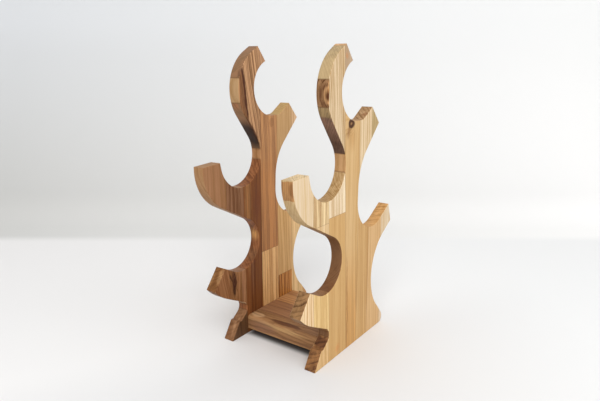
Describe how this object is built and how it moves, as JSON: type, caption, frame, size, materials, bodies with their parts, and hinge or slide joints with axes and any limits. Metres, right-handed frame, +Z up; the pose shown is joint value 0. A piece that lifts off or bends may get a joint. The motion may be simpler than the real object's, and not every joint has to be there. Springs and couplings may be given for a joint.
{
  "type": "tabletop wine rack",
  "caption": "Wooden wine rack: tree-like side panels of glued upright staves, sawn with open cradles for bottles that lie flat, joined by a low shelf.",
  "frame": {"origin": "on the table, below the middle of the rack's width and depth", "axes": "+Z up, front of the rack towards -Y, the panels' faces square to X; the right panel is at +X"},
  "size_m": [0.185, 0.2918, 0.4821],
  "materials": {
    "honey_wood": "oiled",
    "pale_wood": "oiled",
    "amber_wood": "oiled",
    "shelf_wood": "oiled",
    "dowel_wood": "raw"
  },
  "bodies": {
    "root": {"right_nose_tip": "amber_wood", "right_front_arm_tip": "amber_wood", "right_toe": "honey_wood", "right_nose": "honey_wood", "right_front_arm_lower": "honey_wood", "right_front_arm_upper": "honey_wood", "right_horn_back": "honey_wood", "right_trunk_front_lower": "pale_wood", "right_trunk_front_upper": "pale_wood", "right_horn": "pale_wood", "right_trunk_middle": "amber_wood", "right_horn_tip": "amber_wood", "right_trunk_rear": "honey_wood", "right_antler": "honey_wood", "right_waist": "amber_wood", "right_antler_tip": "amber_wood", "right_heel_tip": "honey_wood", "right_back_arm_tip": "honey_wood", "left_nose_tip": "amber_wood", "left_front_arm_tip": "amber_wood", "left_toe": "honey_wood", "left_nose": "honey_wood", "left_front_arm": "honey_wood", "left_horn_back": "honey_wood", "left_trunk_front": "pale_wood", "left_horn": "pale_wood", "left_trunk_middle_lower": "amber_wood", "left_trunk_middle_upper": "amber_wood", "left_horn_tip": "amber_wood", "left_trunk_rear_lower": "honey_wood", "left_trunk_rear_upper": "honey_wood", "left_antler": "honey_wood", "left_waist": "amber_wood", "left_antler_tip": "amber_wood", "left_heel_tip": "honey_wood", "left_back_arm_tip": "honey_wood", "shelf_front": "shelf_wood", "shelf_middle": "shelf_wood", "shelf_rear": "shelf_wood", "right_dowel_front": "dowel_wood", "right_dowel_middle": "dowel_wood", "right_dowel_rear": "dowel_wood", "left_dowel_front": "dowel_wood", "left_dowel_middle": "dowel_wood", "left_dowel_rear": "dowel_wood"}
  },
  "joints": []
}
